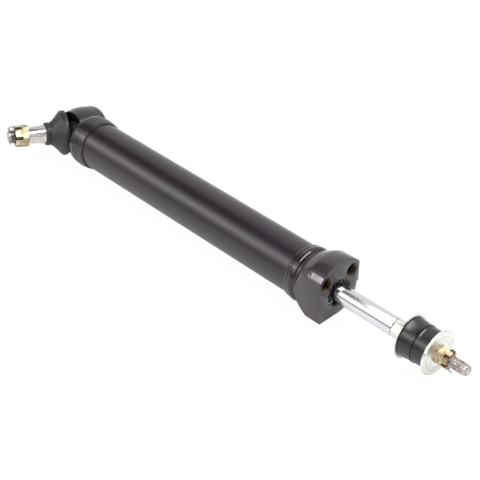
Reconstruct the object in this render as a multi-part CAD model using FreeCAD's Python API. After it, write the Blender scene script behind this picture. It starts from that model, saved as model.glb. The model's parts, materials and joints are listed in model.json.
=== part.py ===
import FreeCAD, Part
import math
import os

# A double-acting hydraulic steering cylinder that lies along +X, in millimetres, with +Z up.
# The origin is the centre of the ball in the socket at the fixed end. A twin-walled tube runs
# from that socket to a port head, and the rod leaves the head towards +X and ends in a pair of
# rubber bushings between cupped washers.

Vector = FreeCAD.Vector

# Running and assembly clearances, as a gap on the radius or between faces
RUNNING_FIT = 0.05
PRESS_GAP = 0.02
LOOSE_FIT = 0.3

# Outer tube, from the end cap to the port head
TUBE_OD = 45.4
TUBE_WALL = 2.0
TUBE_START = 27.0
TUBE_LENGTH = 289.0

# Inner barrel that the piston runs in, with the oil's way round it
OIL_GAP = 2.8
BARREL_WALL = 2.0
BARREL_SHORT = 1.0
TRANSFER_DRILLING = 3.0
TRANSFER_OFFSET = 5.5

# Forged end cap at the ball end: its crowned band stands proud of the tube by a step
CAP_FACE = 16.8
CAP_EDGE_STEP = -0.4
CAP_SHOULDER = 20.2
CAP_SHOULDER_STEP = 1.7
CAP_CROWN = 28.5
CAP_CROWN_STEP = 2.5
CAP_BAND_END = 38.2
CAP_END_STEP = 1.5
CAP_LIP_STEP = 0.5
CAP_FLOOR = 30.0
CAP_RING_WIDTH = 1.2
CAP_RING_DEPTH = 0.45
CAP_RING_PLACES = (25.6, 29.2, 32.8)

# Clearance pocket in the end cap for the skirt of the dust boot
POCKET_DEPTH = 24.6
POCKET_EDGE = 6.5
POCKET_RIM = 2.0
POCKET_FLARE = 1.6
POCKET_FLARE_DEPTH = 2.8

# Ball socket: a round forging across the cylinder's axis, open towards the stud
SOCKET_RISE = 17.0
SOCKET_OD = 47.4
SOCKET_BACK = 21.6
SOCKET_ROUNDING = 3.2
SOCKET_BULGE_END = -7.5
DOME_OD = 44.0
SOCKET_MOUTH_ANGLE = 64.0
MOUTH_FLAT = 9.0
BALL_OD = 25.4
SOCKET_BORE_GAP = 0.5

# Plug, spring washer and pressure seat behind the ball
PLUG_STEP = 1.2
PLUG_THICKNESS = 3.0
PLUG_INSET = 0.9
SEAT_START = 2.8
SEAT_BACK_WALL = 2.2
SPRING_THICKNESS = 1.0
SPRING_BORE = 9.0

# Ball stud, measured along its own axis from the ball's centre
STUD_LEAN = 25.63
STUD_DROOP = 21.17
NECK_OD = 12.8
NECK_END = 18.0
SHOULDER_OD = 18.8
SHOULDER_START = 22.5
TAPER_START = 27.0
TAPER_END = 48.4
TAPER_SMALL_OD = 15.4
STUD_THREAD_OD = 12.7
STUD_TIP = 67.6
STUD_TIP_CHAMFER = 1.4

# Dust boot on the stud, a rubber skirt round the socket's dome
BOOT_RIM = 11.6
BOOT_RIM_OD = 43.4
BOOT_RIM_WIDTH = 4.4
BOOT_COLLAR_START = 26.4
BOOT_COLLAR_END = 32.2
BOOT_COLLAR_OD = 22.4
BOOT_WALL = 2.0
BOOT_HOLLOW = 1.0

# Port head at the rod end: its places are counted from the tube's end
HEAD_SKIRT = 10.4
BEAD_CREST = -4.6
BEAD_STEP = 1.65
BEAD_END = -2.4
WAIST_STEP = 0.4
WAIST_START = -1.8
WAIST_END = 1.0
HEAD_CONE_END = 15.0
HEAD_FACE_OFFSET = 29.6
HEAD_OD = 61.2
HEAD_FLAT_DEPTH = 7.4
HEAD_FOOT_DEPTH = 7.0
HEAD_EDGE_CHAMFER = 2.2
SPIGOT_LENGTH = 7.0
TUBE_STOP_GAP = 0.3
STEP_DROP = 10.0
STEP_WIDTH = 4.6
STEP_LENGTH = 12.0

# Ports for flared hose fittings, on the head's front face
PORT_ACROSS = 14.6
PORT_UP = 15.0
PORT_BORE = 12.0
PORT_MOUTH_OD = 13.4
PORT_MOUTH_DEPTH = 0.7
PORT_TAPPED_DEPTH = 8.0
PORT_SEAT_OD = 10.0
PORT_SEAT_DEPTH = 6.0
PORT_PASSAGE = 3.4
PORT_SEAT_HEIGHT = 5.8
PORT_SEAT_CONE = 2.4
PORT_SEAT_BORE = 4.2
PORT_SEAT_RIM = 0.9

# Rod gland in the head, from the inside out
BUSH_WALL = 2.0
BUSH_LENGTH = 16.0
GLAND_BORE = 25.4
GLAND_DEPTH = 15.0
GLAND_MOUTH_CHAMFER = 0.7
SEAL_LENGTH = 5.6
BACKUP_THICKNESS = 1.5
SCRAPER_LENGTH = 3.6
SCRAPER_LIP = 1.0
RING_THICKNESS = 1.3
RING_GROOVE_DEPTH = 0.9
RING_WIDTH = 2.2
RING_GAP_ANGLE = 40.0
BARREL_SEAL_WIDTH = 2.6
BARREL_SEAL_DEPTH = 2.0

# Piston rod: its places are counted from the head's face and from the tube's start
ROD_OD = 15.875
ROD_EXPOSED = 71.8
PISTON_STANDOFF = 94.0
PISTON_LENGTH = 22.0
PISTON_STEM_OD = 10.0
PISTON_NUT_HEIGHT = 7.5
PISTON_NUT_FLATS = 15.0
PISTON_RING_WIDTH = 3.0
PISTON_RING_DEPTH = 2.2
STEM_BEYOND_NUT = 1.5
FLATS_LENGTH = 9.0
FLATS_SETBACK = 3.0
FLATS_ACROSS = 13.2
FLATS_TURN = 130.0
ROD_STEM_OD = 9.53
STEM_LENGTH = 57.8
STEM_CHAMFER = 1.2

# Bushing pack on the rod's stem
WASHER_OD = 38.3
WASHER_THICKNESS = 1.5
OUTER_WASHER_THICKNESS = 2.5
WASHER_FLAT_OD = 22.0
WASHER_CUP_OD = 31.0
WASHER_CUP = 1.2
PACK_LENGTH = 27.0
SLEEVE_OD = 14.0
BUSHING_END_OD = 35.0
BUSHING_WAIST_OD = 30.6
BUSHING_OUTER_END_OD = 32.0
BUSHING_LIP_OD = 33.2
BUSHING_LIP = 0.9

# Slotted nuts and their cotter pins: one on the rod's stem, one on the stud
COTTER_TURN = -23.0
COTTER_SPREAD = 1.0
NUT_CHAMFER = 0.9
ROD_NUT = {"flats": 14.3, "height": 11.0, "slot_depth": 4.2, "slot_width": 2.9}
STUD_NUT = {"flats": 19.05, "height": 13.0, "slot_depth": 6.6, "slot_width": 3.6}
ROD_COTTER = {
    "wire": 2.0,
    "eye": 4.0,
    "eye_place": 7.2,
    "eye_shift": 0.0,
    "legs": (0.2, 4.2),
    "past_nut": -1.4,
    "reach": 5.4,
}
STUD_COTTER = {
    "wire": 2.4,
    "eye": 6.6,
    "eye_place": 10.0,
    "eye_shift": 1.3,
    "legs": (0.2, 0.8),
    "past_nut": 2.0,
    "reach": 6.4,
}


# Helpers

def outline(start, *moves):
    """Closed face in the XY plane: a move is a point for a line, or a pair of points for an arc."""
    edges = []
    here = Vector(start[0], start[1], 0)
    if not isinstance(moves[-1][0], tuple) or moves[-1][1] != start:
        moves = moves + (start,)
    for move in moves:
        if isinstance(move[0], tuple):
            middle = Vector(move[0][0], move[0][1], 0)
            there = Vector(move[1][0], move[1][1], 0)
            edges.append(Part.Arc(here, middle, there).toShape())
        else:
            there = Vector(move[0], move[1], 0)
            edges.append(Part.makeLine(here, there))
        here = there
    return Part.Face(Part.Wire(edges))


def turned(start, *moves):
    """A solid turned about the X axis, from an outline of (along, radius) points."""
    return outline(start, *moves).revolve(Vector(0, 0, 0), Vector(1, 0, 0), 360)


def ring(inner_od, outer_od, start, end):
    """A plain tube about the X axis between two planes."""
    return turned((start, inner_od / 2), (end, inner_od / 2), (end, outer_od / 2), (start, outer_od / 2))


def rod_between(start, end, diameter):
    """A straight round bar or drilling between two points."""
    span = end - start
    return Part.makeCylinder(diameter / 2, span.Length, start, span)


def hexagon(flats, start, end):
    """A hexagonal bar along X, with its first corner upwards."""
    corner = flats / math.sqrt(3)
    points = []
    for turn in range(7):
        angle = math.radians(60 * turn)
        points.append(Vector(start, corner * math.sin(angle), corner * math.cos(angle)))
    return Part.Face(Part.makePolygon(points)).extrude(Vector(end - start, 0, 0))


def aimed(shape, direction):
    """The shape with its +X turned to a direction, about the origin."""
    turned_shape = shape.copy()
    turn = FreeCAD.Rotation(Vector(1, 0, 0), direction)
    turned_shape.Placement = FreeCAD.Placement(Vector(0, 0, 0), turn).multiply(turned_shape.Placement)
    return turned_shape


# Directions at the ball joint

rise = math.radians(SOCKET_RISE)
lean = math.radians(STUD_LEAN)
droop = math.radians(STUD_DROOP)
socket_axis = Vector(0, -math.cos(rise), math.sin(rise))
socket_up = Vector(0, math.sin(rise), math.cos(rise))
lean_direction = Vector(-math.cos(droop), 0, 0) - socket_up * math.sin(droop)
stud_axis = socket_axis * math.cos(lean) + lean_direction * math.sin(lean)

# Places and diameters that follow from the sizes above

tube_end = TUBE_START + TUBE_LENGTH
tube_id = TUBE_OD - 2 * TUBE_WALL
barrel_od = tube_id - 2 * OIL_GAP
barrel_bore = barrel_od - 2 * BARREL_WALL
barrel_end = tube_end - BARREL_SHORT
skirt_bore = TUBE_OD / 2 + PRESS_GAP
head_face = tube_end + HEAD_FACE_OFFSET
head_inner_face = tube_end - SPIGOT_LENGTH
head_width = HEAD_OD / 2 - HEAD_FLAT_DEPTH
head_foot = HEAD_OD / 2 - HEAD_FOOT_DEPTH
gland_floor = head_face - GLAND_DEPTH
bush_start = gland_floor - BUSH_LENGTH
bush_od = ROD_OD + 2 * BUSH_WALL
piston_face = TUBE_START + PISTON_STANDOFF
rod_shoulder = head_face + ROD_EXPOSED
rod_tip = rod_shoulder + STEM_LENGTH
pack_start = rod_shoulder + WASHER_THICKNESS
pack_end = pack_start + PACK_LENGTH
rod_nut_back = pack_end + OUTER_WASHER_THICKNESS + PRESS_GAP
rod_cotter_place = rod_nut_back + ROD_NUT["height"] + ROD_COTTER["past_nut"]
stud_nut_back = TAPER_END + PRESS_GAP
stud_cotter_place = stud_nut_back + STUD_NUT["height"] + STUD_COTTER["past_nut"]
socket_bore = BALL_OD + 2 * SOCKET_BORE_GAP
plug_bore = socket_bore + 2 * PLUG_STEP
plug_front = -SOCKET_BACK + PLUG_INSET + PLUG_THICKNESS
seat_back = -BALL_OD / 2 - SEAT_BACK_WALL


def outer_tube():
    """Drawn steel tube whose ends stand in the cap's and the head's skirts."""
    return ring(tube_id, TUBE_OD, TUBE_START, tube_end)


def inner_barrel():
    """Honed pressure barrel on the cap's and the head's spigots, drilled for the oil's way round."""
    place = TUBE_START + TRANSFER_OFFSET
    barrel = ring(barrel_bore, barrel_od, TUBE_START, barrel_end)
    drilling = rod_between(Vector(place, 0, -barrel_od), Vector(place, 0, barrel_od), TRANSFER_DRILLING)
    return barrel.cut(drilling)


def end_cap():
    """The cap's turned body: a crowned band over the tube, crimp rings and a spigot for the barrel."""
    tube = TUBE_OD / 2
    crown = tube + CAP_CROWN_STEP
    spigot = barrel_bore / 2 - PRESS_GAP
    body = turned(
        (CAP_FACE, 0),
        (CAP_FACE, tube + CAP_EDGE_STEP),
        (CAP_SHOULDER, tube + CAP_SHOULDER_STEP),
        ((CAP_CROWN, crown), (CAP_BAND_END - 1.0, tube + CAP_END_STEP)),
        (CAP_BAND_END, tube + CAP_LIP_STEP),
        (CAP_BAND_END, skirt_bore),
        (TUBE_START, skirt_bore),
        (TUBE_START, spigot),
        (CAP_FLOOR - 0.6, spigot),
        (CAP_FLOOR, spigot - 0.6),
        (CAP_FLOOR, 0),
    )
    for place in CAP_RING_PLACES:
        body = body.cut(ring(2 * (crown - CAP_RING_DEPTH), 2 * crown + 4, place, place + CAP_RING_WIDTH))
    return body


def boot_pocket():
    """The dished space in the cap's face that the boot's skirt swings into."""
    rim = TUBE_OD / 2 + CAP_EDGE_STEP - POCKET_RIM
    dish = turned(
        (CAP_FACE - 1, 0),
        (CAP_FACE - 1, rim + POCKET_FLARE),
        (CAP_FACE, rim + POCKET_FLARE),
        (CAP_FACE + POCKET_FLARE_DEPTH, rim),
        (POCKET_DEPTH, rim),
        (POCKET_DEPTH, 0),
    )
    half = Part.makeBox(4 * TUBE_OD, 2 * TUBE_OD, 4 * TUBE_OD)
    half.translate(Vector(-2 * TUBE_OD, -2 * TUBE_OD - POCKET_EDGE, -2 * TUBE_OD))
    half.rotate(Vector(0, 0, 0), Vector(1, 0, 0), -SOCKET_RISE)
    return dish.common(half)


def socket_forging():
    """The ball's housing: a dome towards the stud that swells into a round body with a rounded back."""
    dome = DOME_OD / 2
    body = SOCKET_OD / 2
    rounding = SOCKET_ROUNDING
    soft = rounding * (1 - math.sqrt(0.5))
    middle_angle = math.radians(78)
    return turned(
        (-SOCKET_BACK, 0),
        (-SOCKET_BACK, body - rounding),
        ((-SOCKET_BACK + soft, body - soft), (-SOCKET_BACK + rounding, body)),
        (SOCKET_BULGE_END, body),
        ((-2.0, (dome + body) / 2 + 0.25), (dome * math.cos(middle_angle), dome * math.sin(middle_angle))),
        ((6.9, math.sqrt(dome ** 2 - 6.9 ** 2)), (MOUTH_FLAT, math.sqrt(dome ** 2 - MOUTH_FLAT ** 2))),
        (MOUTH_FLAT, 0),
    )


def socket_hollow():
    """The ball's seat, the bore behind it and the flared mouth that the stud swings in."""
    seat = Part.makeSphere(BALL_OD / 2 + RUNNING_FIT)
    bore = ring(0.0, socket_bore, -SOCKET_BACK - 1, 0)
    flare = math.tan(math.radians(SOCKET_MOUTH_ANGLE))
    reach = MOUTH_FLAT + 1
    mouth = turned((0, 0), (reach, reach * flare), (reach, 0))
    plug_seat = ring(0.0, plug_bore, -SOCKET_BACK - 1, plug_front)
    return seat.fuse(bore).fuse(mouth).fuse(plug_seat)


def socket_end():
    """The forged end piece: cap and ball socket in one."""
    forging = aimed(socket_forging(), socket_axis)
    body = end_cap().cut(boot_pocket()).fuse(forging)
    return body.cut(aimed(socket_hollow(), socket_axis)).removeSplitter()


def socket_plug():
    """Pressed plug that closes the socket behind the spring washer."""
    back = -SOCKET_BACK + PLUG_INSET
    edge = plug_bore / 2 - PRESS_GAP
    plug = turned(
        (back, 0),
        (back, edge - 0.8),
        (back + 0.8, edge),
        (plug_front, edge),
        (plug_front, 0),
    )
    dimple = Part.makeSphere(5.0, Vector(back - 3.8, 0, 0))
    return aimed(plug.cut(dimple), socket_axis)


def pressure_seat():
    """The sliding cup that the spring presses against the back of the ball."""
    radius = socket_bore / 2 - RUNNING_FIT
    cup = turned(
        (-SEAT_START, 0),
        (-SEAT_START, radius - 0.6),
        (-SEAT_START - 0.6, radius),
        (seat_back + 0.8, radius),
        (seat_back, radius - 0.8),
        (seat_back, 0),
    )
    return aimed(cup.cut(Part.makeSphere(BALL_OD / 2 + RUNNING_FIT)), socket_axis)


def seat_spring():
    """Dished spring washer between the plug and the pressure seat."""
    edge = socket_bore / 2 - LOOSE_FIT
    bore = SPRING_BORE / 2
    front = seat_back - PRESS_GAP
    back = plug_front + PRESS_GAP
    thick = SPRING_THICKNESS
    washer = turned(
        (back, edge),
        (back + thick, edge),
        (front, bore),
        (front - thick, bore),
    )
    return aimed(washer, socket_axis)


def cross_hole(cotter, place, length):
    """The cotter's cross hole through a threaded end."""
    radius = cotter["wire"] / 2 + 0.15
    hole = Part.makeCylinder(radius, length, Vector(place, 0, -length / 2), Vector(0, 0, 1))
    hole.rotate(Vector(0, 0, 0), Vector(1, 0, 0), COTTER_TURN)
    return hole


def ball_stud():
    """Ball, neck, shoulder, ground taper and thread, in one piece."""
    ball_radius = BALL_OD / 2
    neck = NECK_OD / 2
    neck_start = math.sqrt(ball_radius ** 2 - neck ** 2)
    thread = STUD_THREAD_OD / 2
    flat = ball_radius - 1.0
    stud = turned(
        (-flat, 0),
        (-flat, math.sqrt(ball_radius ** 2 - flat ** 2)),
        ((0, ball_radius), (neck_start, neck)),
        (NECK_END, neck),
        (SHOULDER_START, SHOULDER_OD / 2),
        (TAPER_START, SHOULDER_OD / 2),
        (TAPER_END, TAPER_SMALL_OD / 2),
        (TAPER_END, thread),
        (STUD_TIP - STUD_TIP_CHAMFER, thread),
        (STUD_TIP, thread - STUD_TIP_CHAMFER),
        (STUD_TIP, 0),
    )
    hole = cross_hole(STUD_COTTER, stud_cotter_place, STUD_THREAD_OD + 2)
    return aimed(stud.cut(hole), stud_axis)


def dust_boot():
    """Moulded rubber skirt that grips the stud and shields the socket's mouth."""
    rim = BOOT_RIM_OD / 2
    collar = BOOT_COLLAR_OD / 2
    bore = SHOULDER_OD / 2 + LOOSE_FIT
    rim_top = BOOT_RIM + BOOT_RIM_WIDTH
    flare_middle = ((rim_top + BOOT_COLLAR_START) / 2, (rim + collar) / 2 - BOOT_HOLLOW)
    skirt = turned(
        (BOOT_RIM, rim - 0.8),
        (BOOT_RIM + 0.9, rim),
        (rim_top, rim - 0.2),
        (flare_middle, (BOOT_COLLAR_START, collar)),
        (BOOT_COLLAR_START + 0.8, collar - 0.4),
        (BOOT_COLLAR_END - 0.8, collar - 0.2),
        (BOOT_COLLAR_END, collar - 0.9),
        (BOOT_COLLAR_END, bore),
        (BOOT_COLLAR_START - 1.5, bore),
        (rim_top - 1.0, rim - BOOT_WALL),
        (BOOT_RIM, rim - BOOT_WALL),
    )
    return aimed(skirt, stud_axis)


def slotted_nut(nut, thread_od, nut_back):
    """Hexagon nut with a slot across each pair of flats, chamfered at both ends."""
    flats = nut["flats"]
    corner = flats / math.sqrt(3)
    nut_end = nut_back + nut["height"]
    blank = hexagon(flats, nut_back, nut_end)
    blank.rotate(Vector(0, 0, 0), Vector(1, 0, 0), 30)
    envelope = turned(
        (nut_back, 0),
        (nut_back, corner - NUT_CHAMFER),
        (nut_back + NUT_CHAMFER * 0.6, corner),
        (nut_end - NUT_CHAMFER * 0.6, corner),
        (nut_end, corner - NUT_CHAMFER),
        (nut_end, 0),
    )
    body = blank.common(envelope)
    body = body.cut(ring(0.0, thread_od + 2 * RUNNING_FIT, nut_back - 1, nut_end + 1))
    depth = nut["slot_depth"]
    width = nut["slot_width"]
    for turn in range(3):
        slot = Part.makeBox(depth + 1, width, 2 * flats, Vector(nut_end - depth, -width / 2, -flats))
        slot.rotate(Vector(0, 0, 0), Vector(1, 0, 0), 60 * turn)
        body = body.cut(slot)
    body.rotate(Vector(0, 0, 0), Vector(1, 0, 0), COTTER_TURN)
    return body


def cotter_pin(cotter, place):
    """Split pin through a cross hole: an eye on one side and two legs bent apart on the other."""
    wire = cotter["wire"] / 2
    thin = wire * 0.8
    eye = cotter["eye"] / 2 - thin
    reach = cotter["reach"]
    eye_place = cotter["eye_place"]
    bend = wire + COTTER_SPREAD
    eye_centre = Vector(place + cotter["eye_shift"], 0, eye_place)
    shank = Part.makeCylinder(wire, reach + eye_place - eye, Vector(place, 0, -reach), Vector(0, 0, 1))
    pin = shank.fuse(Part.makeTorus(eye, thin, eye_centre, Vector(0, 1, 0)))
    for side, leg in zip((-1, 1), cotter["legs"]):
        start = Vector(place, 0, -reach)
        corner = Vector(place + side * bend * (1 - math.sqrt(0.5)), 0, -reach - bend * math.sqrt(0.5))
        turn_end = Vector(place + side * bend, 0, -reach - bend)
        tip = turn_end + Vector(side * leg, 0, 0)
        path = Part.Wire([Part.Arc(start, corner, turn_end).toShape(), Part.makeLine(turn_end, tip)])
        section = Part.Wire(Part.Circle(start, Vector(0, 0, 1), thin).toShape())
        pin = pin.fuse(path.makePipeShell([section], True, False))
    pin.rotate(Vector(0, 0, 0), Vector(1, 0, 0), COTTER_TURN)
    return pin


def head_blank():
    """The head as it is turned: skirt, bead, waist, cone and the round plate."""
    tube = TUBE_OD / 2
    bead = tube + BEAD_STEP
    waist = tube + WAIST_STEP
    plate = HEAD_OD / 2
    spigot = barrel_bore / 2 - PRESS_GAP
    cone_start = tube_end + WAIST_END
    cone_end = tube_end + HEAD_CONE_END
    stop = tube_end + TUBE_STOP_GAP
    return turned(
        (tube_end - HEAD_SKIRT, skirt_bore),
        (tube_end - HEAD_SKIRT, tube + 0.3),
        ((tube_end + BEAD_CREST - 3.0, bead - 0.55), (tube_end + BEAD_CREST, bead)),
        (tube_end + BEAD_END, bead - 0.3),
        (tube_end + WAIST_START, waist),
        (cone_start, waist),
        (((cone_start + cone_end) / 2, (waist + plate) / 2 + 0.5), (cone_end, plate)),
        (head_face, plate),
        (head_face, 0),
        (head_inner_face, 0),
        (head_inner_face, spigot),
        (stop, spigot),
        (stop, skirt_bore),
    )


def head_profile():
    """The head's outline seen from the rod: flats at the sides and below, round elsewhere."""
    outer = HEAD_OD / 2
    side_height = math.sqrt(outer ** 2 - head_width ** 2)
    foot = math.sqrt(outer ** 2 - head_foot ** 2)
    corner_angle = math.atan2(-head_foot - side_height, -foot - head_width)
    corner_middle = (outer * math.cos(corner_angle), outer * math.sin(corner_angle))
    diagonal = head_foot * math.sqrt(0.5)
    round_end = (head_width, -math.sqrt(head_foot ** 2 - head_width ** 2))
    return outline(
        round_end,
        (head_width, side_height),
        ((0, outer), (-head_width, side_height)),
        (-head_width, -side_height),
        (corner_middle, (-foot, -head_foot)),
        (0, -head_foot),
        ((diagonal, -diagonal), round_end),
    )


def head_prism():
    """The head's outline as a bar along X over the plate and cone."""
    start = tube_end + WAIST_START
    prism = head_profile().extrude(Vector(0, 0, head_face - start + 1))
    prism.rotate(Vector(0, 0, 0), Vector(1, 1, 1), 120)
    prism.translate(Vector(start, 0, 0))
    return prism


def port_passages():
    """Drillings from the ports: one to the gap round the barrel, one into the barrel."""
    floor = head_face - PORT_TAPPED_DEPTH - PORT_SEAT_DEPTH
    reach = math.hypot(PORT_ACROSS, PORT_UP)
    gap_share = (barrel_od + tube_id) / 4 / reach
    bore_share = (barrel_bore / 2 - PORT_PASSAGE) / reach
    to_gap = Vector(tube_end - 2, -PORT_ACROSS * gap_share, PORT_UP * gap_share)
    to_bore = Vector(head_inner_face - 2, PORT_ACROSS * bore_share, PORT_UP * bore_share)
    first = rod_between(Vector(floor + 1, -PORT_ACROSS, PORT_UP), to_gap, PORT_PASSAGE * 0.7)
    second = rod_between(Vector(floor + 1, PORT_ACROSS, PORT_UP), to_bore, PORT_PASSAGE)
    return first.fuse(second)


def port_hole(across):
    """One port: a tapped bore with a chamfered mouth, and a smaller bore below for the seat."""
    place = Vector(0, across, PORT_UP)
    tapped_floor = head_face - PORT_TAPPED_DEPTH
    hole = turned(
        (tapped_floor - PORT_SEAT_DEPTH, 0),
        (tapped_floor - PORT_SEAT_DEPTH, PORT_SEAT_OD / 2),
        (tapped_floor, PORT_SEAT_OD / 2),
        (tapped_floor, PORT_BORE / 2),
        (head_face - PORT_MOUTH_DEPTH, PORT_BORE / 2),
        (head_face, PORT_MOUTH_OD / 2),
        (head_face + 1, PORT_MOUTH_OD / 2),
        (head_face + 1, 0),
    )
    hole.translate(place)
    return hole


def gland_hollow():
    """The stepped bore for the rod, its bush, its seals and the retaining ring."""
    steps = turned(
        (head_inner_face - 1, 0),
        (head_inner_face - 1, ROD_OD / 2 + 0.4),
        (bush_start, ROD_OD / 2 + 0.4),
        (bush_start, bush_od / 2),
        (gland_floor, bush_od / 2),
        (gland_floor, GLAND_BORE / 2),
        (head_face - GLAND_MOUTH_CHAMFER, GLAND_BORE / 2),
        (head_face, GLAND_BORE / 2 + GLAND_MOUTH_CHAMFER),
        (head_face + 1, GLAND_BORE / 2 + GLAND_MOUTH_CHAMFER),
        (head_face + 1, 0),
    )
    groove = ring(GLAND_BORE - 1, GLAND_BORE + 2 * RING_GROOVE_DEPTH, ring_start(), ring_start() + RING_THICKNESS)
    return steps.fuse(groove)


def ring_start():
    """Where the retaining ring's groove begins, just outside the scraper."""
    return gland_floor + SEAL_LENGTH + BACKUP_THICKNESS + SCRAPER_LENGTH


def head():
    """Port head with its flats, step, ports, gland bore and edge chamfer."""
    split = tube_end + WAIST_START
    plate = head_blank().common(head_prism())
    neck = head_blank().common(ring(0.0, HEAD_OD, head_inner_face - HEAD_SKIRT, split))
    body = neck.fuse(plate).removeSplitter()
    step = Part.makeBox(
        STEP_LENGTH + 1, STEP_WIDTH + 1, STEP_DROP + 1,
        Vector(head_face - STEP_LENGTH, -head_width - 1, HEAD_OD / 2 - STEP_DROP),
    )
    edge = turned(
        (head_face - HEAD_EDGE_CHAMFER, head_foot),
        (head_face, head_foot - HEAD_EDGE_CHAMFER),
        (head_face + 1, head_foot - HEAD_EDGE_CHAMFER),
        (head_face + 1, head_foot + 2),
        (head_face - HEAD_EDGE_CHAMFER, head_foot + 2),
    )
    lower_side = Part.makeBox(HEAD_OD, HEAD_OD, HEAD_OD, Vector(tube_end, 0, -HEAD_OD))
    back = head_face - HEAD_EDGE_CHAMFER
    rise = head_foot - HEAD_EDGE_CHAMFER
    foot_section = Part.makePolygon([
        Vector(back, -HEAD_OD, -head_foot),
        Vector(head_face, -HEAD_OD, -rise),
        Vector(head_face + 1, -HEAD_OD, -rise),
        Vector(head_face + 1, -HEAD_OD, -HEAD_OD),
        Vector(back, -HEAD_OD, -HEAD_OD),
        Vector(back, -HEAD_OD, -head_foot),
    ])
    foot_edge = Part.Face(foot_section).extrude(Vector(0, HEAD_OD, 0))
    body = body.cut(step).cut(edge.common(lower_side)).cut(foot_edge)
    for across in (-PORT_ACROSS, PORT_ACROSS):
        body = body.cut(port_hole(across))
    groove = ring(barrel_bore - 2 * BARREL_SEAL_DEPTH, barrel_bore + 1, *barrel_seal_span())
    return body.cut(port_passages()).cut(gland_hollow()).cut(groove)


def barrel_seal_span():
    """The groove on the head's spigot that holds the barrel seal."""
    start = head_inner_face + 1.6
    return start, start + BARREL_SEAL_WIDTH


def barrel_seal():
    """Rubber ring between the head's spigot and the barrel."""
    start, end = barrel_seal_span()
    return ring(barrel_bore - 2 * BARREL_SEAL_DEPTH + 0.1, barrel_bore - 0.04, start + 0.1, end - 0.1)


def port_seat(across):
    """Brass seat pressed into the floor of a port, with a cone for the flared tube."""
    floor = head_face - PORT_TAPPED_DEPTH - PORT_SEAT_DEPTH
    edge = PORT_SEAT_OD / 2 - PRESS_GAP
    cone_start = floor + PORT_SEAT_HEIGHT - PORT_SEAT_CONE
    seat = turned(
        (floor, PORT_SEAT_BORE / 2),
        (floor, edge),
        (cone_start, edge),
        (cone_start, edge - PORT_SEAT_RIM),
        (floor + PORT_SEAT_HEIGHT, PORT_SEAT_BORE / 2 + 0.5),
        (floor + PORT_SEAT_HEIGHT, PORT_SEAT_BORE / 2),
    )
    seat.translate(Vector(0, across, PORT_UP))
    return seat


def rod_bush():
    """Bearing bush that guides the rod in the head."""
    return ring(ROD_OD + 2 * RUNNING_FIT, bush_od - 2 * PRESS_GAP, bush_start, gland_floor)


def rod_seal():
    """Lip seal round the rod, open towards the pressure."""
    end = gland_floor + SEAL_LENGTH
    inner = ROD_OD / 2 + RUNNING_FIT
    outer = GLAND_BORE / 2 - PRESS_GAP
    middle = (inner + outer) / 2
    return turned(
        (gland_floor, inner + 0.3),
        (gland_floor, inner + 1.3),
        (gland_floor + 2.6, middle),
        (gland_floor, outer - 1.0),
        (gland_floor, outer),
        (end, outer),
        (end, inner),
        (gland_floor + 1.0, inner),
    )


def seal_backup():
    """Flat washer behind the rod seal."""
    start = gland_floor + SEAL_LENGTH
    return ring(ROD_OD + 2 * LOOSE_FIT, GLAND_BORE - 2 * PRESS_GAP, start, start + BACKUP_THICKNESS)


def rod_scraper():
    """Scraper whose lip keeps dirt off the rod."""
    start = gland_floor + SEAL_LENGTH + BACKUP_THICKNESS
    end = start + SCRAPER_LENGTH
    inner = ROD_OD / 2 + RUNNING_FIT
    outer = GLAND_BORE / 2 - PRESS_GAP
    return turned(
        (start, inner + 1.2),
        (start, outer),
        (end, outer),
        (end, inner + 1.0),
        (end + SCRAPER_LIP, inner + 0.5),
        (end + SCRAPER_LIP, inner),
    )


def retaining_ring():
    """Snap ring that holds the gland's stack in the head."""
    start = ring_start() + 0.05
    outer = GLAND_BORE + 2 * RING_GROOVE_DEPTH - 0.1
    snap = ring(outer - 2 * RING_WIDTH, outer, start, start + RING_THICKNESS - 0.1)
    reach = GLAND_BORE
    half_gap = math.radians(RING_GAP_ANGLE / 2)
    wedge = Part.Face(Part.makePolygon([
        Vector(start - 1, 0, 0),
        Vector(start - 1, reach * math.sin(half_gap), -reach * math.cos(half_gap)),
        Vector(start - 1, -reach * math.sin(half_gap), -reach * math.cos(half_gap)),
        Vector(start - 1, 0, 0),
    ])).extrude(Vector(4, 0, 0))
    snap = snap.cut(wedge)
    for side in (-1, 1):
        ear_angle = math.radians(RING_GAP_ANGLE / 2 + 9)
        radius = outer / 2 - RING_WIDTH - 0.4
        ear = rod_between(
            Vector(start, side * radius * math.sin(ear_angle), -radius * math.cos(ear_angle)),
            Vector(start + RING_THICKNESS - 0.1, side * radius * math.sin(ear_angle), -radius * math.cos(ear_angle)),
            3.0,
        )
        hole = rod_between(
            Vector(start - 1, side * radius * math.sin(ear_angle), -radius * math.cos(ear_angle)),
            Vector(start + 3, side * radius * math.sin(ear_angle), -radius * math.cos(ear_angle)),
            1.3,
        )
        snap = snap.fuse(ear).cut(hole)
    return snap.cut(ring(0.0, ROD_OD + 1.0, start - 1, start + 3))


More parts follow.
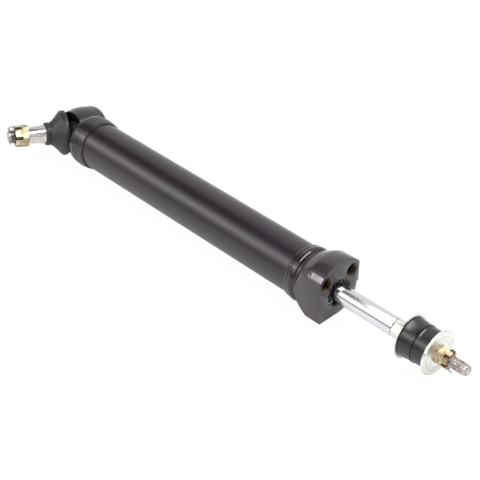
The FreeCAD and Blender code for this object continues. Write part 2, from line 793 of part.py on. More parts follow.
def piston_rod():
    """Ground and plated rod: a stem for the piston, wrench flats, and a threaded end."""
    piston_stem = PISTON_STEM_OD / 2
    stem_start = piston_face - PISTON_LENGTH - PISTON_NUT_HEIGHT - STEM_BEYOND_NUT
    stem = ROD_STEM_OD / 2
    rod = turned(
        (stem_start, 0),
        (stem_start, piston_stem - 0.8),
        (stem_start + 0.8, piston_stem),
        (piston_face, piston_stem),
        (piston_face, ROD_OD / 2),
        (rod_shoulder - 0.6, ROD_OD / 2),
        (rod_shoulder, ROD_OD / 2 - 0.6),
        (rod_shoulder, stem),
        (rod_tip - STEM_CHAMFER, stem),
        (rod_tip, stem - STEM_CHAMFER),
        (rod_tip, 0),
    )
    flats_start = rod_shoulder - FLATS_SETBACK - FLATS_LENGTH
    for side in (0, 180):
        corner = Vector(flats_start, FLATS_ACROSS / 2, -ROD_OD)
        flat = Part.makeBox(FLATS_LENGTH, ROD_OD, 2 * ROD_OD, corner)
        flat.rotate(Vector(0, 0, 0), Vector(1, 0, 0), FLATS_TURN + side)
        rod = rod.cut(flat)
    return rod.cut(cross_hole(ROD_COTTER, rod_cotter_place, ROD_STEM_OD + 2))


def piston():
    """Piston with one ring groove, clamped against the rod's shoulder."""
    start = piston_face - PISTON_LENGTH
    body = turned(
        (start, PISTON_STEM_OD / 2 + PRESS_GAP),
        (start, barrel_bore / 2 - LOOSE_FIT - 1.0),
        (start + 1.0, barrel_bore / 2 - LOOSE_FIT),
        (piston_face - 1.0, barrel_bore / 2 - LOOSE_FIT),
        (piston_face, barrel_bore / 2 - LOOSE_FIT - 1.0),
        (piston_face, PISTON_STEM_OD / 2 + PRESS_GAP),
    )
    return body.cut(ring(barrel_bore - 2 * PISTON_RING_DEPTH, barrel_bore + 2, *ring_span()))


def ring_span():
    """The piston ring's groove, in the middle of the piston."""
    middle = piston_face - PISTON_LENGTH / 2
    return middle - PISTON_RING_WIDTH / 2, middle + PISTON_RING_WIDTH / 2


def piston_ring():
    """Split sealing ring that slides on the barrel's bore."""
    start, end = ring_span()
    band = ring(
        barrel_bore - 2 * PISTON_RING_DEPTH + 2 * LOOSE_FIT, barrel_bore - 2 * RUNNING_FIT, start + 0.05, end - 0.05,
    )
    gap = Part.makeBox(PISTON_RING_WIDTH + 2, 0.8, barrel_bore, Vector(start - 1, -0.4, 0))
    return band.cut(gap)


def piston_nut():
    """Plain hexagon nut that clamps the piston on its stem."""
    end = piston_face - PISTON_LENGTH - PRESS_GAP
    start = end - PISTON_NUT_HEIGHT
    corner = PISTON_NUT_FLATS / math.sqrt(3)
    blank = hexagon(PISTON_NUT_FLATS, start, end)
    envelope = turned(
        (start, 0), (start, corner - 0.9), (start + 0.6, corner), (end - 0.6, corner), (end, corner - 0.9), (end, 0),
    )
    return blank.common(envelope).cut(ring(0.0, PISTON_STEM_OD + 2 * RUNNING_FIT, start - 1, end + 1))


def cup_washer(seat, side, thickness):
    """Pressed washer whose rim is cupped towards the rubber: side is +1 when the rubber is beyond it."""
    bore = ROD_STEM_OD / 2 + PRESS_GAP * 5
    back = seat - side * thickness
    cup = side * WASHER_CUP
    return turned(
        (back, bore),
        (back, WASHER_FLAT_OD / 2),
        (back + cup, WASHER_CUP_OD / 2),
        (back + cup, WASHER_OD / 2 - 0.4),
        (back + cup + side * 0.4, WASHER_OD / 2),
        (seat + cup - side * 0.4, WASHER_OD / 2),
        (seat + cup, WASHER_OD / 2 - 0.4),
        (seat + cup, WASHER_CUP_OD / 2),
        (seat, WASHER_FLAT_OD / 2),
        (seat, bore),
    )


def bushing(seat, side, end_od):
    """Rubber half bushing: waisted, wide at its washer and lipped where it meets its twin."""
    meet = (pack_start + pack_end) / 2 - side * PRESS_GAP
    bore = SLEEVE_OD / 2 + PRESS_GAP
    cup = seat + side * WASHER_CUP
    waist_end = meet - side * BUSHING_LIP * 1.6
    waist_middle = (cup + waist_end) / 2
    waist = BUSHING_WAIST_OD / 2
    return turned(
        (seat, bore),
        (seat, WASHER_FLAT_OD / 2),
        (cup, WASHER_CUP_OD / 2),
        (cup, end_od / 2),
        ((waist_middle, waist), (waist_end, waist + 0.5)),
        (meet - side * BUSHING_LIP, BUSHING_LIP_OD / 2),
        (meet, BUSHING_LIP_OD / 2 - 0.2),
        (meet, bore),
    )


def spacer_sleeve():
    """Steel sleeve that sets the bushings' squeeze between the washers."""
    bore = ROD_STEM_OD + 10 * PRESS_GAP
    return ring(bore, SLEEVE_OD, pack_start + PRESS_GAP, pack_end - PRESS_GAP)


nodes = {
    "outer_tube": outer_tube(),
    "inner_barrel": inner_barrel(),
    "socket_end": socket_end(),
    "socket_plug": socket_plug(),
    "seat_spring": seat_spring(),
    "pressure_seat": pressure_seat(),
    "ball_stud": ball_stud(),
    "dust_boot": dust_boot(),
    "stud_nut": aimed(slotted_nut(STUD_NUT, STUD_THREAD_OD, stud_nut_back), stud_axis),
    "stud_cotter": aimed(cotter_pin(STUD_COTTER, stud_cotter_place), stud_axis),
    "port_head": head(),
    "port_seat_left": port_seat(-PORT_ACROSS),
    "port_seat_right": port_seat(PORT_ACROSS),
    "barrel_seal": barrel_seal(),
    "rod_bush": rod_bush(),
    "rod_seal": rod_seal(),
    "seal_backup": seal_backup(),
    "rod_scraper": rod_scraper(),
    "retaining_ring": retaining_ring(),
    "piston_rod": piston_rod(),
    "piston": piston(),
    "piston_ring": piston_ring(),
    "piston_nut": piston_nut(),
    "inner_washer": cup_washer(pack_start, 1, WASHER_THICKNESS),
    "inner_bushing": bushing(pack_start, 1, BUSHING_END_OD),
    "spacer_sleeve": spacer_sleeve(),
    "outer_bushing": bushing(pack_end, -1, BUSHING_OUTER_END_OD),
    "outer_washer": cup_washer(pack_end, -1, OUTER_WASHER_THICKNESS),
    "rod_nut": slotted_nut(ROD_NUT, ROD_STEM_OD, rod_nut_back),
    "rod_cotter": cotter_pin(ROD_COTTER, rod_cotter_place),
}

os.makedirs("parts", exist_ok=True)
for name, shape in nodes.items():
    if not shape.isValid() or len(shape.Solids) != 1 or shape.Volume <= 0:
        print("check", name, shape.isValid(), len(shape.Solids), round(shape.Volume, 1))
    shape.exportStep("parts/" + name + ".step")
print("stud axis", [round(value, 5) for value in stud_axis], "socket axis", [round(value, 5) for value in socket_axis])
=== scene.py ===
import json
import math

import bpy
from mathutils import Matrix, Vector

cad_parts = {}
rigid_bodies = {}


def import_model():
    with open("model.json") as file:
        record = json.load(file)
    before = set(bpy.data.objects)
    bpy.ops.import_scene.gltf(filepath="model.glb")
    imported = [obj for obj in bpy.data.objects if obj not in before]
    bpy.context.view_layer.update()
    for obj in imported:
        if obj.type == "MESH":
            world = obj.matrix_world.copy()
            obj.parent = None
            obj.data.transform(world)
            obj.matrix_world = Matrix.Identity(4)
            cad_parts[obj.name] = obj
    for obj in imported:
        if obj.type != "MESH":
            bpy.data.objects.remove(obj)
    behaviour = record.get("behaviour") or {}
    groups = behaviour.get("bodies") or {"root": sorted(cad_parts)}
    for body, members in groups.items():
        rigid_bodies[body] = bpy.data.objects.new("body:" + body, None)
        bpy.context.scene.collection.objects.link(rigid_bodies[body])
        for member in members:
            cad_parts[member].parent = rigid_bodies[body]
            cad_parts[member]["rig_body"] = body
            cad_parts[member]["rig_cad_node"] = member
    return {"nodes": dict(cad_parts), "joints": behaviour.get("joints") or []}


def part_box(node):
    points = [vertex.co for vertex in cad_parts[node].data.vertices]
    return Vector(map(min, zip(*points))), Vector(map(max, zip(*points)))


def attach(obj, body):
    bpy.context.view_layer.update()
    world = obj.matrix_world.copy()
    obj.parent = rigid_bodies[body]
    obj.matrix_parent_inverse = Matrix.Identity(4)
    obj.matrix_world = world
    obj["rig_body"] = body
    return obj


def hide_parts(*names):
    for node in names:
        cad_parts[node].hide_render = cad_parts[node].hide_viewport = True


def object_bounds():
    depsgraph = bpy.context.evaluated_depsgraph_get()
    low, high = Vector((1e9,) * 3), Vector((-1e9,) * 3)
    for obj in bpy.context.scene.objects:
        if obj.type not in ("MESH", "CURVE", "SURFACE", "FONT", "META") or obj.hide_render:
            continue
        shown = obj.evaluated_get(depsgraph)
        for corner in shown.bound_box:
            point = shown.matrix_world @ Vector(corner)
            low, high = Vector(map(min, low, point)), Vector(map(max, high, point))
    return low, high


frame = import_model()
nodes = frame["nodes"]
solids_low, solids_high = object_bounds()


# The table that the cylinder lies on: a plain matt white board that keeps a soft shadow,
# in a white room. Every finish further down is built with the same few shader tools.

def set_socket(tree, item, socket):
    """Sets a socket to a number or colour, or links it."""
    if isinstance(item, Wire):
        tree.links.new(item.socket, socket)
    else:
        socket.default_value = item


class Wire:
    """One output socket, so that shader sums can be written as Python sums."""

    def __init__(self, tree, socket):
        self.tree = tree
        self.socket = socket

    def sum(self, operation, first, second):
        node = self.tree.nodes.new("ShaderNodeMath")
        node.operation = operation
        set_socket(self.tree, first, node.inputs[0])
        set_socket(self.tree, second, node.inputs[1])
        return Wire(self.tree, node.outputs[0])

    def __add__(self, other):
        return self.sum("ADD", self, other)

    __radd__ = __add__

    def __sub__(self, other):
        return self.sum("SUBTRACT", self, other)

    def __rsub__(self, other):
        return self.sum("SUBTRACT", other, self)

    def __mul__(self, other):
        return self.sum("MULTIPLY", self, other)

    __rmul__ = __mul__


class Finish:
    """A finish in the making: node() adds any shader node and gives one of its outputs."""

    def __init__(self, tree):
        self.tree = tree
        tree.nodes.clear()

    def node(self, kind, settings, sockets, output=0):
        made = self.tree.nodes.new("ShaderNode" + kind)
        for name, value in settings.items():
            setattr(made, name, value)
        for name, value in sockets.items():
            set_socket(self.tree, value, made.inputs[name])
        return Wire(self.tree, made.outputs[output]) if made.outputs else None

    def ramp(self, value, start, end, low=0.0, high=1.0):
        """A soft step from low to high as the value goes from start to end."""
        ends = {"Value": value, "From Min": start, "From Max": end, "To Min": low, "To Max": high}
        return self.node("MapRange", {"interpolation_type": "SMOOTHSTEP"}, ends)

    def colour(self, factor, first, second):
        """Mixes two colours by a factor."""
        return self.node("Mix", {"data_type": "RGBA"}, {0: factor, 6: first, 7: second}, 2)

    def noise(self, place, scale, stretch=(1.0, 1.0, 1.0), detail=3.0):
        """Soft noise of so many waves to the metre, stretched along the axes."""
        moved = self.node("Mapping", {}, {"Vector": place, "Scale": stretch})
        return self.node("TexNoise", {}, {"Vector": moved, "Scale": scale, "Detail": detail})


def new_finish(name):
    """A named material, its shader tools and the piece's own coordinates."""
    material = bpy.data.materials.new(name)
    material.use_nodes = True
    finish = Finish(material.node_tree)
    return material, finish, finish.node("TexCoord", {}, {}, "Object")


def close_finish(material, finish, sockets):
    """Ends a material with one surface shader."""
    surface = finish.node("BsdfPrincipled", {}, sockets)
    finish.node("OutputMaterial", {}, {"Surface": surface})
    return material


def put_on(material, *pieces):
    """Gives pieces, or solids of the frame, one material all over."""
    for piece in pieces:
        piece.data.materials.clear()
        piece.data.materials.append(material)


TABLE_SIDE = 14.0
TABLE_CENTRE = 0.2
TABLE_GAP = 0.0004
SHOWN_LEVEL = 0.98
MIRRORED_LEVEL = 0.32

bpy.ops.object.select_all(action="DESELECT")
bpy.ops.mesh.primitive_plane_add(size=TABLE_SIDE, location=(TABLE_CENTRE, 0.0, solids_low.z - TABLE_GAP))
table = bpy.context.object
table.name = "table_top"
table_white, tools, _ = new_finish("matt_white_board")
board = tools.node("BsdfDiffuse", {}, {"Color": (0.93, 0.93, 0.93, 1.0), "Roughness": 0.4})
glow = tools.node("Emission", {}, {"Color": (1.0, 1.0, 1.0, 1.0), "Strength": 1.0})
camera_ray = tools.node("LightPath", {}, {}, "Is Camera Ray")
glossy_ray = tools.node("LightPath", {}, {}, "Is Glossy Ray")
through_ray = tools.node("LightPath", {}, {}, "Is Transmission Ray")
shown_white = camera_ray * SHOWN_LEVEL + (glossy_ray + through_ray) * MIRRORED_LEVEL
both = tools.node("MixShader", {}, {0: shown_white, 1: board, 2: glow})
tools.node("OutputMaterial", {}, {"Surface": both})
put_on(table_white, table)


# The studio: a long softbox above the near side, parallel to the cylinder, with a brighter
# tube in it, and a small panel overhead. The white room is dimmer above and below the softbox,
# as a room is where one hangs. The camera looks down along the rod from the front.

SOFTBOX_PLACE = Vector((-0.35, -0.78, 0.64))
SOFTBOX_SIZE = (2.0, 0.62)
SOFTBOX_WATTS = 5.0
TUBE_PLACE = SOFTBOX_PLACE * 0.98
TUBE_SIZE = (2.0, 0.15)
TUBE_WATTS = 3.1
PANEL_PLACE = Vector((0.42, 0.08, 1.0))
PANEL_SIZE = (0.40, 1.0)
PANEL_WATTS = 10.5
ROOM_MIRRORED = 0.92
ROOM_LIGHT = 0.55


def area_lamp(name, place, size, watts):
    """A flat lamp that faces the cylinder, with its length along X."""
    data = bpy.data.lights.new(name, "AREA")
    data.shape = "RECTANGLE"
    data.size, data.size_y = size
    data.energy = watts
    lamp = bpy.data.objects.new(name, data)
    bpy.context.scene.collection.objects.link(lamp)
    across = Vector((1.0, 0.0, 0.0))
    back = Vector((0.0, place.y, place.z)).normalized()
    turn = Matrix((across, back.cross(across), back)).transposed()
    lamp.matrix_world = Matrix.Translation(place) @ turn.to_4x4()


area_lamp("long_softbox", SOFTBOX_PLACE, SOFTBOX_SIZE, SOFTBOX_WATTS)
area_lamp("softbox_tube", TUBE_PLACE, TUBE_SIZE, TUBE_WATTS)
area_lamp("overhead_panel", PANEL_PLACE, PANEL_SIZE, PANEL_WATTS)

room = bpy.data.worlds.new("white_room")
bpy.context.scene.world = room
room.use_nodes = True
tools = Finish(room.node_tree)
outwards = tools.node("TexCoord", {}, {}, "Generated")
way = tools.node("SeparateXYZ", {}, {0: outwards}, 1)
forwards = 0.0 - way
upwards = tools.node("SeparateXYZ", {}, {0: outwards}, 2)
rise = upwards.sum("ARCTAN2", upwards, forwards)
above_lamp = tools.ramp(rise, 1.08, 1.25) * tools.ramp(rise, 1.60, 1.95, 1.0, 0.0)
below_lamp = tools.ramp(rise, -0.20, -0.02) * tools.ramp(rise, 0.16, 0.30, 1.0, 0.0)
behind = tools.ramp(rise, 1.85, 2.30)
mirror_level = ROOM_MIRRORED - 0.74 * above_lamp - 0.42 * below_lamp + 0.15 * behind
glossy_ray = tools.node("LightPath", {}, {}, "Is Glossy Ray")
camera_ray = tools.node("LightPath", {}, {}, "Is Camera Ray")
through_ray = tools.node("LightPath", {}, {}, "Is Transmission Ray")
ordinary = ROOM_LIGHT * (1.0 - camera_ray - glossy_ray - through_ray)
level = camera_ray + through_ray + glossy_ray * mirror_level + ordinary
sky = tools.node("Background", {}, {"Color": (1.0, 1.0, 1.0, 1.0), "Strength": level})
tools.node("OutputWorld", {}, {"Surface": sky})

CAMERA_PLACE = Vector((0.8187, -0.56435, 0.59397))
CAMERA_LENS = 87.55
CAMERA_SENSOR = 36.0
camera_right = Vector((0.69210, 0.72180, 0.0))
camera_up = Vector((-0.42923, 0.41157, 0.80397))
camera_data = bpy.data.cameras.new("front_right")
camera_data.lens = CAMERA_LENS
camera_data.sensor_width = CAMERA_SENSOR
camera = bpy.data.objects.new("front_right", camera_data)
bpy.context.scene.collection.objects.link(camera)
camera_turn = Matrix((camera_right, camera_up, camera_right.cross(camera_up))).transposed()
camera.matrix_world = Matrix.Translation(CAMERA_PLACE) @ camera_turn.to_4x4()
bpy.context.scene.camera = camera
bpy.context.scene.view_settings.view_transform = "Standard"


# The outer tube: drawn steel tube in brushed-on black enamel that has flowed out to a soft
# gloss. It stands in the skirts of the end cap and the head, which are crimped over it.

def black_enamel(name, tint, roughness, orange_peel, grit):
    """Black enamel: cloudy gloss, a faint orange peel and fine dust caught in it."""
    material, tools, place = new_finish(name)
    cloud = tools.noise(place, 28.0, (0.4, 1.0, 1.0), 4.0)
    speck = tools.noise(place, 900.0, detail=2.0)
    dust = tools.ramp(speck, 0.66, 0.78)
    worn = tools.ramp(cloud, 0.35, 0.70)
    lighter = tuple(value * 1.6 for value in tint)
    body = tools.colour(worn, tint + (1.0,), lighter + (1.0,))
    dusty = tools.colour(dust * 0.30, body, (0.10, 0.095, 0.095, 1.0))
    peel = tools.noise(place, 420.0, detail=1.0)
    grain = tools.noise(place, 1500.0, detail=4.0)
    height = peel * orange_peel + grain * grit
    bump = tools.node("Bump", {}, {"Height": height, "Strength": 0.35, "Distance": 0.0004})
    return close_finish(material, tools, {
        "Base Color": dusty,
        "Roughness": roughness + 0.10 * cloud + 0.15 * dust,
        "Specular IOR Level": 0.6,
        "Normal": bump,
    })


tube_enamel = black_enamel(
    "tube_black_enamel", (0.0050, 0.0012, 0.0045), roughness=0.25, orange_peel=0.10, grit=0.02
)
put_on(tube_enamel, nodes["outer_tube"])


# The honed barrel, the piston with its ring and nut, and the barrel's seal are inside the
# tube. They keep a plain worked finish, with turning marks round the bore's axis.

def worked_metal(name, tint, roughness, ring_depth, direction=(1.0, 0.0, 0.0), spread=0.25):
    """Bare turned metal: fine rings along an axis, smudges and a change of gloss with them."""
    material, tools, place = new_finish(name)
    dot = {"operation": "DOT_PRODUCT"}
    along = tools.node("VectorMath", dot, {0: place, 1: tuple(direction)}, "Value")
    column = tools.node("CombineXYZ", {}, {"X": along})
    rings = tools.noise(column, 2600.0, detail=5.0)
    smudge = tools.noise(place, 120.0, detail=4.0)
    mottle = tools.ramp(smudge, 0.35, 0.68)
    darker = tuple(value * (1.0 - spread) for value in tint)
    body = tools.colour(mottle, tint + (1.0,), darker + (1.0,))
    lined = tools.colour(rings * 0.35, body, darker + (1.0,))
    bump = tools.node("Bump", {}, {"Height": rings, "Strength": ring_depth, "Distance": 0.0002})
    return close_finish(material, tools, {
        "Base Color": lined,
        "Metallic": 1.0,
        "Roughness": roughness + 0.14 * mottle + 0.08 * rings,
        "Normal": bump,
    })


def moulded_rubber(name, tint, roughness, bloom):
    """Moulded black rubber: matt, with a grey bloom in patches and a fine moulded grain."""
    material, tools, place = new_finish(name)
    patch = tools.ramp(tools.noise(place, 60.0, detail=5.0), 0.40, 0.75)
    grain = tools.noise(place, 1800.0, detail=3.0)
    greyed = tuple(value + bloom for value in tint)
    body = tools.colour(patch, tint + (1.0,), greyed + (1.0,))
    bump = tools.node("Bump", {}, {"Height": grain, "Strength": 0.10, "Distance": 0.0001})
    return close_finish(material, tools, {
        "Base Color": body,
        "Roughness": roughness + 0.12 * patch,
        "Specular IOR Level": 0.5,
        "Normal": bump,
    })


honed_steel = worked_metal("honed_steel", (0.50, 0.51, 0.52), roughness=0.22, ring_depth=0.10)
turned_iron = worked_metal("turned_iron", (0.30, 0.30, 0.31), roughness=0.38, ring_depth=0.30)
seal_rubber = moulded_rubber("seal_rubber", (0.010, 0.009, 0.010), roughness=0.22, bloom=0.006)
bright_steel = worked_metal("bright_turned_steel", (0.56, 0.55, 0.53), roughness=0.28, ring_depth=0.20)
put_on(honed_steel, nodes["inner_barrel"])
put_on(turned_iron, nodes["piston"], nodes["piston_ring"])
put_on(bright_steel, nodes["piston_nut"], nodes["spacer_sleeve"])
put_on(seal_rubber, nodes["barrel_seal"])


# The end piece: a steel forging, cap and ball socket in one, in the same enamel over a
# coarser skin. Its skirt is rolled over the tube in three rings.

SMOOTH_BELOW = math.radians(32)
SAME_POINT = 0.000004


def ease(piece, width, steps=2, angle=35.0):
    """Breaks a piece's sharp edges with a small round."""
    round_edge = piece.modifiers.new("broken_edge", "BEVEL")
    round_edge.width = width
    round_edge.segments = steps
    round_edge.limit_method = "ANGLE"
    round_edge.angle_limit = math.radians(angle)
    round_edge.harden_normals = False
    bpy.ops.object.modifier_apply(modifier=round_edge.name)


def eased_copy(node, name, width):
    """A copy of a solid of the frame with its loose faces joined and its edges broken."""
    bpy.ops.object.select_all(action="DESELECT")
    piece = nodes[node].copy()
    piece.data = nodes[node].data.copy()
    piece.name = name
    piece.data.name = name
    piece.parent = None
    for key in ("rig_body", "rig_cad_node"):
        del piece[key]
    bpy.context.scene.collection.objects.link(piece)
    piece.select_set(True)
    bpy.context.view_layer.objects.active = piece
    bpy.ops.object.mode_set(mode="EDIT")
    bpy.ops.mesh.customdata_custom_splitnormals_clear()
    bpy.ops.mesh.select_all(action="SELECT")
    bpy.ops.mesh.remove_doubles(threshold=SAME_POINT)
    bpy.ops.mesh.dissolve_limited(angle_limit=math.radians(0.6))
    bpy.ops.object.mode_set(mode="OBJECT")
    ease(piece, width)
    bpy.ops.object.shade_smooth_by_angle(angle=SMOOTH_BELOW)
    return piece


forged_enamel = black_enamel(
    "forged_black_enamel", (0.010, 0.006, 0.009), roughness=0.13, orange_peel=0.14, grit=0.24
)
forging = eased_copy("socket_end", "forged_end_piece", 0.00025)
put_on(forged_enamel, forging, nodes["socket_end"])
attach(forging, "cylinder")
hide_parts("socket_end")


# Inside the socket: the pressed plug that closes its back, a dished spring washer, and the
# hardened cup that bears on the ball.

spring_steel = worked_metal("oiled_spring_steel", (0.22, 0.22, 0.23), roughness=0.30, ring_depth=0.15)
put_on(bright_steel, nodes["socket_plug"], nodes["pressure_seat"])
put_on(spring_steel, nodes["seat_spring"])


# The port head: a machined steel block, turned behind and milled flat at the sides, foot and
# step, with two tapped ports. It is enamelled with the tube, so its edges are softly filled.

MM = 0.001


def lathe(name, outline, hollow=False, around=96):
    """Turns a piece about X: each (along, radius) of the outline in mm is one more extruded ring."""
    rings = [(along * MM, radius * MM) for along, radius in outline]
    if hollow:
        rings.append(rings[0])
    bpy.ops.object.select_all(action="DESELECT")
    bpy.ops.mesh.primitive_circle_add(
        vertices=around, radius=rings[0][1], location=(rings[0][0], 0, 0), rotation=(0, math.pi / 2, 0)
    )
    bpy.ops.object.transform_apply(location=True, rotation=True, scale=True)
    piece = bpy.context.object
    piece.name = piece.data.name = name
    bpy.ops.object.mode_set(mode="EDIT")
    bpy.ops.mesh.select_all(action="SELECT")
    for (here, radius), (there, new_radius) in zip(rings, rings[1:]):
        bpy.ops.mesh.extrude_region_move(TRANSFORM_OT_translate={"value": (there - here, 0, 0)})
        grow = new_radius / radius
        bpy.ops.transform.resize(value=(1, grow, grow), center_override=(there, 0, 0))
    bpy.ops.mesh.select_all(action="SELECT")
    bpy.ops.mesh.remove_doubles(threshold=0.000002)
    if not hollow:
        bpy.ops.mesh.fill_holes(sides=0)
    bpy.ops.mesh.select_all(action="SELECT")
    bpy.ops.mesh.normals_make_consistent(inside=False)
    bpy.ops.object.mode_set(mode="OBJECT")
    return piece


# The head's enamel has a lighter tint than the tube's, though it is the same paint: painted light for the
# brighter lit faces of the block.
head_enamel_painted_lighter = black_enamel(
    "head_black_enamel_painted_lighter", (0.026, 0.0195, 0.025), roughness=0.10, orange_peel=0.14, grit=0.10
)
head_block = eased_copy("port_head", "machined_port_head", 0.0003)
head_low, head_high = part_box("port_head")
put_on(head_enamel_painted_lighter, head_block, nodes["port_head"])
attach(head_block, "cylinder")
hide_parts("port_head")


# The head's step: the cutter leaves a small sloping flat in its corner, as long as the step.
# It is given a paler metal finish than the enamel round it: a painted highlight for the lamp's reflection in
# its paint.

CORNER_FLAT_SIZE = (0.0116, 0.0056, 0.0020)
CORNER_FLAT_TURN = math.radians(47.0)
CORNER_FLAT_BACK = 0.0062
CORNER_FLAT_SIDE = -0.02018
CORNER_FLAT_RISE = 0.02126
bpy.ops.object.select_all(action="DESELECT")
bpy.ops.mesh.primitive_cube_add(size=1.0, scale=CORNER_FLAT_SIZE)
milled_flat = bpy.context.object
bpy.ops.object.transform_apply(location=False, rotation=False, scale=True)
milled_flat.rotation_euler = (CORNER_FLAT_TURN, 0, 0)
milled_flat.location = (head_high.x - CORNER_FLAT_BACK, CORNER_FLAT_SIDE, CORNER_FLAT_RISE)
bpy.ops.object.transform_apply(location=True, rotation=True, scale=False)
# A paler metal than the enamel: a painted highlight for the lamp's reflection in the flat's paint.
flat_highlight_metal = worked_metal(
    "flat_painted_highlight_steel", (0.22, 0.20, 0.22), roughness=0.30, ring_depth=0.15,
    direction=(0.0, 1.0, 1.0), spread=0.15,
)
put_on(flat_highlight_metal, milled_flat)
milled_flat.name = "milled_corner_flat"
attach(milled_flat, "cylinder")


# The collar: the head's skirt, rolled down over the end of the tube. The roller leaves a low
# ridge, a groove and a full bead, and the enamel lies thick and very glossy on them.

skirt_end = head_low.x / MM
collar = lathe("rolled_collar", [
    (skirt_end - 0.1, 22.8), (skirt_end, 23.5), (skirt_end + 0.7, 24.0), (skirt_end + 2.3, 24.2),
    (skirt_end + 2.8, 23.9), (skirt_end + 3.3, 23.95), (skirt_end + 3.9, 24.45), (skirt_end + 5.6, 24.75),
    (skirt_end + 7.2, 24.88), (skirt_end + 7.8, 24.80), (skirt_end + 9.5, 24.15), (skirt_end + 10.0, 23.6),
    (skirt_end + 10.2, 22.9),
], hollow=True, around=128)
bpy.ops.object.shade_smooth_by_angle(angle=SMOOTH_BELOW)
collar_enamel = black_enamel(
    "collar_black_enamel", (0.006, 0.003, 0.005), roughness=0.05, orange_peel=0.08, grit=0.02
)
put_on(collar_enamel, collar)
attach(collar, "cylinder")


# The two port seats: turned brass cones pressed into the floors of the ports, against which
# a flared line seals.

brass = worked_metal("turned_brass", (0.74, 0.50, 0.20), roughness=0.24, ring_depth=0.25)
put_on(brass, nodes["port_seat_left"], nodes["port_seat_right"])


# The gland: a bronze bush, a lip seal with its washer, a scraper, and the snap ring in its
# groove that holds them all in the head.

sintered_bronze = worked_metal("sintered_bronze", (0.50, 0.33, 0.16), roughness=0.42, ring_depth=0.10)
put_on(sintered_bronze, nodes["rod_bush"])
put_on(seal_rubber, nodes["rod_seal"], nodes["rod_scraper"])
put_on(bright_steel, nodes["seal_backup"])
snap_steel = worked_metal("snap_ring_steel", (0.46, 0.45, 0.44), roughness=0.20, ring_depth=0.10)
put_on(snap_steel, nodes["retaining_ring"])


# The ball stud: one forged piece with a ball, a neck, a shoulder and a taper ground to fit
# the eye of a steering arm. It leans out of the socket along the axis it spins about.

stud_axis = Vector(next(joint["axis"] for joint in frame["joints"] if joint["name"] == "stud_spin"))


def arc(centre, radius, first, last, steps):
    """Points on an arc of an outline, with angles in degrees from +X towards the radius."""
    points = []
    for step in range(steps + 1):
        angle = math.radians(first + (last - first) * step / steps)
        points.append((centre[0] + radius * math.cos(angle), centre[1] + radius * math.sin(angle)))
    return points


def finish_piece(piece, material, body, stands_for, width=0.0, axis=None, angle=35.0):
    """Breaks a piece's edges, turns it from +X to its axis and hands it to its body."""
    bpy.ops.object.select_all(action="DESELECT")
    piece.select_set(True)
    bpy.context.view_layer.objects.active = piece
    if width:
        ease(piece, width * MM, 2, angle)
    if axis is not None:
        piece.rotation_mode = "QUATERNION"
        piece.rotation_quaternion = Vector((1, 0, 0)).rotation_difference(axis)
        bpy.ops.object.transform_apply(location=False, rotation=True, scale=False)
    bpy.ops.object.shade_smooth_by_angle(angle=SMOOTH_BELOW)
    put_on(material, piece)
    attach(piece, body)
    for node in stands_for:
        put_on(material, nodes[node])
        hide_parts(node)
    return piece


BALL_RADIUS = 12.7
NECK_RADIUS = 6.4
SHOULDER_RADIUS = 9.4
TAPER_START = 27.0
TAPER_END = 48.0
TAPER_TIP_RADIUS = 7.72
THREAD_CORE = 5.6
# Below these distances along the stud, the ball and neck are painted near-black and dull: painted shade
# inside the socket and boot.
SOCKET_SHADE_FULL = 0.0215
SOCKET_SHADE_END = 0.0240
neck_angle = math.degrees(math.asin(NECK_RADIUS / BALL_RADIUS))
stud_outline = arc((0, 0), BALL_RADIUS, 157, neck_angle, 20)
stud_outline += [(17.6, NECK_RADIUS), (18.2, 6.7), (22.3, 9.3), (22.9, SHOULDER_RADIUS)]
stud_outline += [(TAPER_START, SHOULDER_RADIUS), (TAPER_END, TAPER_TIP_RADIUS), (TAPER_END + 0.4, 7.3)]
stud_outline += [(TAPER_END + 0.6, THREAD_CORE), (60.0, THREAD_CORE)]
stud_shank = lathe("ground_ball_stud", stud_outline, around=112)
ground_taper, tools, place = new_finish("ground_taper_steel")
along = tools.node("VectorMath", {"operation": "DOT_PRODUCT"}, {0: place, 1: tuple(stud_axis)}, "Value")
column = tools.node("CombineXYZ", {}, {"X": along})
wheel_marks = tools.noise(column, 2600.0, detail=5.0)
smudge = tools.ramp(tools.noise(place, 150.0, detail=4.0), 0.40, 0.66)
# Painted shade: the ball and neck turn near-black, dull and non-metallic towards the socket.
socket_shade = tools.ramp(along, SOCKET_SHADE_FULL, SOCKET_SHADE_END, 1.0, 0.0)
steel = tools.colour(smudge * 0.6, (0.66, 0.62, 0.60, 1.0), (0.44, 0.40, 0.38, 1.0))
lined = tools.colour(wheel_marks * 0.25, steel, (0.34, 0.30, 0.28, 1.0))
ball_in_painted_shade = tools.colour(socket_shade, lined, (0.010, 0.008, 0.007, 1.0))
bump = tools.node("Bump", {}, {"Height": wheel_marks, "Strength": 0.03, "Distance": 0.0001})
close_finish(ground_taper, tools, {
    "Base Color": ball_in_painted_shade,
    "Metallic": 1.0 - socket_shade,
    "Roughness": 0.12 + 0.12 * smudge + 0.25 * socket_shade,
    "Normal": bump,
})
finish_piece(stud_shank, ground_taper, "stud", ["ball_stud"], width=0.12, axis=stud_axis)


# The stud's thread, 1/2 inch fine: a rolled helical ridge on a core, with a chamfered tip.
# It is of one piece with the stud, and brown with oil.

